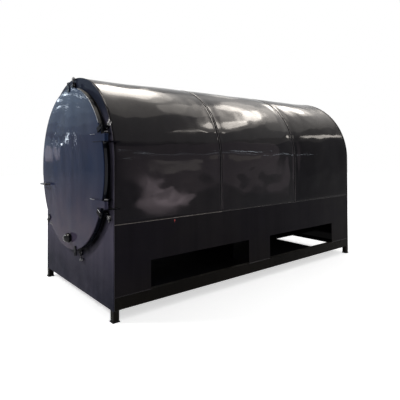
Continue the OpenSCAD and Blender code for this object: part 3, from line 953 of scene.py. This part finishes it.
# A split pin through a clamp pin's end: how far aside, how far in and out, and its eye
SPLIT_ASIDE = 0.0205
SPLIT_IN = 0.012
SPLIT_OUT = 0.01
SPLIT_EYE_AT = 0.0125
SPLIT_EYE_R = 0.003
SPLIT_WIRE = 0.0012
EYE_WIRE = 0.0011


def directions(angle):
    """Out from the door's centre at an angle, and across that."""
    out = Vector((math.cos(angle), 0, math.sin(angle)))
    across = Vector((-math.sin(angle), 0, math.cos(angle)))
    return out, across


def make_clamp_parts():
    """Each bolt's thread, its nut's washer and bar ends, and the pins' split pins."""
    depth = Vector((0, 1, 0))
    for body, (angle, pivot) in CLAMPS.items():
        out, across = directions(angle)
        build = Build()
        for start, stop in THREAD_SPANS:
            path = []
            for i in range(math.ceil((stop - start) / THREAD_PITCH * THREAD_SIDES)):
                a = math.tau * i / THREAD_SIDES
                rise = out * (start + THREAD_PITCH * i / THREAD_SIDES)
                path.append(pivot + rise + (across * math.cos(a) + depth * math.sin(a)) * BOLT_R)
            build.tube(path, THREAD_R, sides=4)
        build.make("thread_" + body, BARE, body, "bare_steel")
        build = Build()
        for side in (1, -1):
            at = pivot + out * BAR_AT + across * (BAR_HALF * side)
            build.lathe(at, across * side, BAR_END, sides=20)
        build.lathe(pivot + out * WASHER_AT, out, WASHER)
        build.make("nut_washer_" + body, BARE, body, "bare_steel")
    build = Build()
    for angle, pivot in CLAMPS.values():
        out, across = directions(angle)
        for side in (1, -1):
            end = pivot + across * (SPLIT_ASIDE * side)
            shank = line(end - out * SPLIT_IN, end + out * SPLIT_OUT, size=0.003)
            build.tube(shank, SPLIT_WIRE)
            eye = circle(end + out * SPLIT_EYE_AT, across, SPLIT_EYE_R, size=0.0015)
            build.tube(eye, EYE_WIRE, closed=True)
    build.make("split_pins", BARE, "furnace", "bare_steel")


ROPE_R = 0.0026
ROPE_AHEAD = 0.0024
ROPE_IN = 0.006
ROPE_RIPPLE = 0.1
ROPE_PITCH = 0.011
ROPE_FLAT = 0.85


def make_seal():
    """Packing rope on the neck's front edge, in the door's 5 mm gap."""
    path = circle((MID_X, NECK_LOW.y - ROPE_AHEAD, DOOR_Z), (0, 1, 0), NECK_R - ROPE_IN)
    build = Build()
    build.tube(
        path, ROPE_R, sides=8, closed=True, ripple=ROPE_RIPPLE, pitch=ROPE_PITCH, flat=ROPE_FLAT,
    )
    build.make("seal_rope", ROPE, "furnace", "front_paint")


def bar(build, a, b, width, thick, up):
    """A flat bar with eased edges from a to b."""
    a, b, up = Vector(a), Vector(b), Vector(up)
    aside = (b - a).cross(up).normalized()
    ease_in = min(width, thick) * 0.2
    w, t = width / 2, thick / 2
    section = [
        (w, t - ease_in), (w - ease_in, t), (ease_in - w, t), (-w, t - ease_in),
        (-w, ease_in - t), (ease_in - w, -t), (w - ease_in, -t), (w, ease_in - t),
    ]
    rings = [build.ring([p + aside * u + up * v for u, v in section]) for p in (a, b)]
    build.join(rings[0], rings[1])
    build.cap(rings[0], True)
    build.cap(rings[1])


PAN_EDGE = 0.06
PAN_BAR_W = 0.04
PAN_BAR_T = 0.006
STUD_CIRCLES = (0.22, 0.46, 0.68)
# A stud, its nut and its washer: distance out from the bar, and radius
STUD_WASHER = [(-0.001, 0.014), (0.002, 0.014), (0.0025, 0.0135), (0.0025, 0.005)]
STUD_NUT = [(0.0025, 0.0095), (0.009, 0.0095), (0.010, 0.008), (0.010, 0.0052)]
STUD = [(0.009, 0.005), (0.015, 0.005), (0.016, 0.004)]


def make_pan_frame():
    """Stiffening bars and nuts on the pan's inner side."""
    pan_low, pan_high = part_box("door_pan")
    back = pan_high.y
    reach = (pan_high.x - pan_low.x) / 2 - PAN_EDGE
    depth = Vector((0, 1, 0))
    build = Build()
    for turn in (30, 90, 150):
        ends = [
            polar(math.radians(turn), end, 0, back + PAN_BAR_T / 2) for end in (reach, -reach)
        ]
        bar(build, *ends, PAN_BAR_W, PAN_BAR_T, depth)
    build.make("pan_bars", SOOT, "door", "heat_dark_steel", smooth=False)
    build = Build()
    for turn in range(30, 390, 60):
        for radius in STUD_CIRCLES:
            at = polar(math.radians(turn), radius, 0, back + PAN_BAR_T)
            for profile, sides in ((STUD_WASHER, 20), (STUD_NUT, 6), (STUD, 14)):
                build.lathe(at, depth, profile, sides)
    build.make("pan_nuts", SOOT, "door", "heat_dark_steel", smooth=False)


DRUM_WELD_STEP = 0.006
DRUM_BEAD = 0.004
DRUM_SEAM_BEAD = 0.0036
DRUM_WELD_IN = 0.0005
# How far behind the front plate's face the first hoop and the seams begin
DRUM_HOOP_AT = 0.012
DRUM_SEAM_AT = 0.015
# How far inside the drum's rear end the last hoop lies
DRUM_END_IN = 0.002


def make_drum_welds():
    """The drum's hoop welds and its two level seams, on its inner side."""
    build = Build()
    inside = DRUM_R - DRUM_WELD_IN
    second_seam = 2 * PANEL_HIGH.y - PANEL_LOW.y
    for y in (FRONT_Y + DRUM_HOOP_AT, PANEL_HIGH.y, second_seam, DRUM_HIGH.y - DRUM_END_IN):
        hoop = circle((MID_X, y, DOOR_Z), (0, 1, 0), inside, DRUM_WELD_STEP)
        weld(build, hoop, DRUM_BEAD, closed=True)
    for side in (1, -1):
        x = MID_X + side * inside
        seam = line((x, FRONT_Y + DRUM_SEAM_AT, DOOR_Z), (x, DRUM_HIGH.y, DOOR_Z), DRUM_WELD_STEP)
        weld(build, seam, DRUM_SEAM_BEAD)
    build.make("drum_welds", SOOT, "furnace", "heat_dark_steel")


# The red spot: how far behind the front plate's face and below the side seam it lies
DROP_BEHIND = 0.721
DROP_BELOW = 0.027
DROP_SINK = 0.0004
DROP = [(0.0, 0.0085), (0.0012, 0.0078), (0.0019, 0.005), (0.0021, 0.001)]


def make_red_spot():
    """A red spot under the side seam, with its run."""
    at = Vector((MID_X + SHELL_R - DROP_SINK, FRONT_Y + DROP_BEHIND, SEAM_Z - DROP_BELOW))
    build = Build()
    build.lathe(at, Vector((1, 0, 0)), DROP, sides=18)
    run = [at + Vector((DROP_SINK, 0.002 * math.sin(i), -0.003 * i)) for i in range(9)]
    build.tube(run, 0.0019, flat=0.6)
    t = Tree("red_spot_colour")
    shade = t.blend(t.noise(120.0), (0.30, 0.012, 0.012), (0.42, 0.03, 0.022))
    rough = t.span(t.noise(90.0), 0.2, 0.8, 0.35, 0.55)
    spot_colour = t.finish(shade, rough, t.bump((t.noise(300.0), 0.0002)), 1.4)
    build.make("red_spot", spot_colour)


make_camera()
make_shell()
make_skirts()
make_door_disc()
make_casing_welds()
make_leg_welds()
make_front_welds()
make_door_welds()
make_highlight_edges()
make_clamp_parts()
make_seal()
make_pan_frame()
make_drum_welds()
make_red_spot()

# ---- Materials of the CAD nodes ----

# Those not named here are in the fittings' paint.
CAD_PAINT = {
    "front_plate": FRONT_PAINT,
    "rear_plate": SIDE_PAINT,
    "leg_posts": FRAME_PAINT,
    "foot_plates": FRAME_PAINT,
    "ash_floor_front": ASH_SOOT_AND_SHADE,
    "ash_floor_rear": ASH_SOOT_AND_SHADE,
    "cross_bearers": ASH_SOOT_AND_SHADE,
    "drum_supports": ASH_SOOT_AND_SHADE,
    "drum_lower": SOOT,
    "drum_upper": SOOT,
    "drum_back_head": SOOT,
    "door_pan": SOOT,
    "clamp_pins": BARE,
    "hinge_pins": BARE,
    "door_rim": RIM_PAINT,
    "door_handle": GRIP,
    "door_hinge_straps": DOOR_PAINT,
    "door_vent": VENT_PAINT,
    "right_bottom_rail": FRAME_PAINT,
    "left_bottom_rail": FRAME_PAINT,
    "clamp_nut_top": BARE,
    "clamp_nut_upper_right": BARE,
    "clamp_nut_lower_right": GRIP,
    "clamp_nut_bottom": GRIP,
    "clamp_nut_lower_left": BARE,
}

for name, node in NODES.items():
    node.data.materials.clear()
    node.data.materials.append(CAD_PAINT.get(name, FITTING_PAINT))

# Cut edges are eased, so that they catch the light. The finest parts get the least.
EASED = {
    "front_plate": 0.002,
    "door_rim": 0.0015,
    "door_hinge_straps": 0.002,
    "door_clamp_lugs": 0.0015,
    "clamp_lugs": 0.0012,
    "hinge_lugs": 0.0015,
    "right_bottom_rail": 0.003,
    "left_bottom_rail": 0.003,
    "leg_posts": 0.0025,
    "foot_plates": 0.001,
}
EASED_ABOVE = math.radians(40)
for name, width in EASED.items():
    bevel = NODES[name].modifiers.new("eased_edges", "BEVEL")
    bevel.width = width
    bevel.segments = 2
    bevel.limit_method = "ANGLE"
    bevel.angle_limit = EASED_ABOVE

# ---- Studio ----

WARM = (1.0, 0.93, 0.85)
COOL = (0.80, 0.90, 1.0)
BLUE = (0.62, 0.82, 1.0)
PLUM = (1.0, 0.82, 0.90)
YELLOW = (1.0, 0.93, 0.72)
WORLD_LEVEL = 0.2
FLOOR_HALF = 25.0
# The floor's glow: its level near the object, and from how far out it rises and is full
GLOW_NEAR = 0.62
GLOW_FROM = 2.0
GLOW_FULL = 5.0


def make_world():
    """White for the eye and for reflections, and a plain level for everything else."""
    world = bpy.data.worlds.new("studio")
    bpy.context.scene.world = world
    world.use_nodes = True
    nodes = world.node_tree.nodes
    link = world.node_tree.links.new
    back = nodes["Background"]
    back.inputs["Color"].default_value = (1, 1, 1, 1)
    path = nodes.new("ShaderNodeLightPath")
    last = path.outputs["Is Camera Ray"]
    for name in ("Is Glossy Ray", "Is Transmission Ray"):
        node = nodes.new("ShaderNodeMath")
        node.operation = "MAXIMUM"
        link(last, node.inputs[0])
        link(path.outputs[name], node.inputs[1])
        last = node.outputs[0]
    level = nodes.new("ShaderNodeMapRange")
    level.inputs["To Min"].default_value = WORLD_LEVEL
    link(last, level.inputs["Value"])
    link(level.outputs["Result"], back.inputs["Strength"])


def make_floor():
    """A white floor that keeps the object's shadow and glows to plain white further out."""
    build = Build()
    span = [-FLOOR_HALF, FLOOR_HALF]
    build.sheet(span, span, lambda x, y: Vector((x, y, 0.0)))
    mesh = bpy.data.meshes.new("floor")
    mesh.from_pydata([tuple(p) for p in build.points], [], build.faces)
    floor = bpy.data.objects.new("floor", mesh)
    bpy.context.scene.collection.objects.link(floor)
    t = Tree("floor_white")
    grain = t.bump((t.noise(30.0), 0.0002))
    t.finish((0.86, 0.86, 0.86, 1.0), 0.9, grain, ior=1.3, specular=0.1)
    path = t.tree.nodes.new("ShaderNodeLightPath")
    seen = t.math("MAXIMUM", path.outputs["Is Camera Ray"], path.outputs["Is Glossy Ray"])
    glow = t.span(t.vector("LENGTH", t.place), GLOW_FROM, GLOW_FULL, GLOW_NEAR, 1.0)
    t.set(t.shader.inputs["Emission Strength"], t.math("MULTIPLY", seen, glow))
    t.shader.inputs["Emission Color"].default_value = (1, 1, 1, 1)
    mesh.materials.append(t.material)


def softbox(name, at, aim, size, radiance, color=(1, 1, 1), shape="RECTANGLE"):
    """A panel lamp, given by how bright its face is."""
    data = bpy.data.lights.new(name, "AREA")
    data.shape = shape
    data.size, data.size_y = size
    area = size[0] * size[1] * (math.pi / 4 if shape == "ELLIPSE" else 1.0)
    data.energy = radiance * math.pi * area
    data.color = color
    lamp = bpy.data.objects.new(name, data)
    bpy.context.scene.collection.objects.link(lamp)
    lamp.location = at
    lamp.rotation_euler = (Vector(aim) - Vector(at)).to_track_quat("-Z", "Y").to_euler()
    return lamp


def gleam(name, at, aim, size, radiance, color, shape="ELLIPSE"):
    """A panel that shows in the gloss only, so the light level stays plain."""
    softbox(name, at, aim, size, radiance, color, shape).visible_diffuse = False


# Panels over the roof, facing down: place, size and radiance
ROOF_LIGHTS = {
    "roof_wide": ((3.5, 6.0, 6.3), (14.0, 15.0), 0.9),
    "lamp_front": ((-1.7, 0.6, 6.0), (2.8, 1.6), 17.0),
    "rim_front": ((-1.6, 0.7, 6.03), (3.6, 2.2), 5.0),
    "rim_light": ((0.5, -0.8, 6.06), (2.8, 1.0), 5.0),
    "glow_front": ((-0.3, 0.9, 6.1), (5.6, 3.0), 3.0),
    "bridge": ((0.9, 2.2, 6.05), (2.0, 2.2), 5.0),
    "lamp_middle": ((1.3, 4.2, 6.0), (2.6, 1.0), 34.0),
    "lamp_upper": ((0.1, 3.4, 6.02), (1.1, 1.1), 22.0),
    "lamp_lower": ((3.1, 4.0, 6.04), (1.5, 1.3), 36.0),
    "rim_middle": ((1.9, 4.1, 6.12), (4.6, 1.9), 6.0),
    "glow_middle": ((1.8, 4.2, 6.15), (7.0, 2.8), 4.5),
    "streak": ((5.1, 3.8, 6.08), (0.3, 1.4), 40.0),
    "lamp_rear": ((-1.1, 6.4, 6.0), (1.9, 1.2), 22.0),
    "rim_rear": ((-1.1, 6.4, 6.05), (2.9, 1.9), 7.0),
    "dome_light": ((0.6, -2.7, 6.07), (2.4, 1.4), 40.0),
    "glow_rear": ((0.5, 7.0, 6.2), (7.0, 4.0), 1.5),
    "lamp_left": ((-4.4, 5.3, 6.0), (1.6, 0.8), 3.0),
    "lamp_far": ((4.8, 10.2, 6.0), (1.1, 2.6), 24.0),
}
# What the right side mirrors: place, aim, size, radiance, colour and shape
WALL_AIM = (1.0, 0.0, 1.2)
TUBE_AIM = (1.0, 0.0, 1.4)
CARD_AIM = (0.9, 0.0, 1.2)
LOW_AIM = (0.9, -1.5, 1.1)
SIDE_LIGHTS = {
    "wall": ((11.0, 7.6, 3.3), WALL_AIM, (7.6, 6.0), 1.35, PLUM, "RECTANGLE"),
    "wall_low": ((10.5, 7.3, 1.7), WALL_AIM, (7.0, 3.2), 0.5, PLUM, "RECTANGLE"),
    "wall_tubes": ((8.0, 5.2, 2.95), TUBE_AIM, (3.4, 0.06), 12.0, COOL, "RECTANGLE"),
    "tube_a": ((8.0, 2.8, 3.1), TUBE_AIM, (0.5, 0.05), 80.0, COOL, "RECTANGLE"),
    "tube_b": ((8.0, 7.5, 3.7), TUBE_AIM, (1.0, 0.05), 60.0, COOL, "RECTANGLE"),
    "tube_c": ((8.0, 9.6, 2.5), TUBE_AIM, (1.5, 0.05), 30.0, COOL, "RECTANGLE"),
    "tube_d": ((8.0, 2.0, 3.67), TUBE_AIM, (0.08, 0.08), 60.0, COOL, "ELLIPSE"),
    "tube_e": ((8.0, 2.1, 2.15), TUBE_AIM, (0.08, 0.08), 60.0, COOL, "ELLIPSE"),
    "wall_window": ((9.0, 7.9, 2.2), TUBE_AIM, (1.7, 1.0), 1.8, YELLOW, "RECTANGLE"),
    "side_card_a": ((7.6, 2.55, 0.7), CARD_AIM, (0.75, 0.5), 7.0, PLUM, "ELLIPSE"),
    "side_card_b": ((7.45, 3.1, 0.42), CARD_AIM, (0.95, 0.85), 8.0, PLUM, "ELLIPSE"),
    "side_card_c": ((7.3, 3.65, 0.3), CARD_AIM, (0.6, 0.6), 8.0, PLUM, "ELLIPSE"),
    "side_card_d": ((7.52, 2.9, 0.2), CARD_AIM, (1.7, 0.4), 4.0, PLUM, "ELLIPSE"),
    "side_card_e": ((6.0, 1.75, 0.3), LOW_AIM, (1.0, 0.5), 7.0, PLUM, "ELLIPSE"),
    "side_card_high": ((7.2, 3.3, 1.35), CARD_AIM, (1.0, 0.35), 4.0, WARM, "RECTANGLE"),
}
# What the door and the front plate mirror
LEFT_AIM = (0.0, -2.0, 2.0)
LEFT_LOW_AIM = (0.0, -2.0, 1.8)
LEFT_CARDS = 4
LEFT_SPOTS = [
    (-7.5, -4.8, 3.4), (-7.05, -5.05, 3.3), (-7.7, -4.8, 2.95), (-7.3, -4.9, 3.6),
    (-7.8, -4.7, 3.25), (-7.44, -4.9, 2.2), (-7.5, -4.88, 2.1), (-7.56, -4.85, 2.0),
    (-7.62, -4.83, 1.9),
]

make_world()
make_floor()
softbox("ceiling", (3.5, 3.0, 6.4), (3.5, 3.0, 0.0), (12.0, 11.0), 0.8)
softbox("fill", (-3.0, -6.5, 5.5), (0.0, -2.0, 1.3), (1.6, 1.2), 48.0)
for name, (at, size, radiance) in ROOF_LIGHTS.items():
    gleam(name, at, (at[0], at[1], 0.0), size, radiance, WARM)
for name, light in SIDE_LIGHTS.items():
    gleam(name, *light)
for i in range(LEFT_CARDS):
    spread = 1.0 + 0.6 * i
    at = (-8.0 - 0.1 * i, -5.2, 3.6)
    gleam(f"left_card_{i}", at, LEFT_AIM, (1.4 * spread, 1.0 * spread), 0.9, BLUE)
gleam("left_low_card", (-8.1, -4.62, 1.6), LEFT_LOW_AIM, (0.48, 0.5), 2.2, PLUM)
gleam("left_mid_card", (-8.25, -4.65, 1.8), LEFT_LOW_AIM, (0.6, 0.7), 0.9, BLUE)
for i, at in enumerate(LEFT_SPOTS):
    gleam(f"left_spot_{i}", at, LEFT_AIM, (0.08, 0.08), 80.0, COOL)

bpy.context.scene.view_settings.view_transform = "Standard"
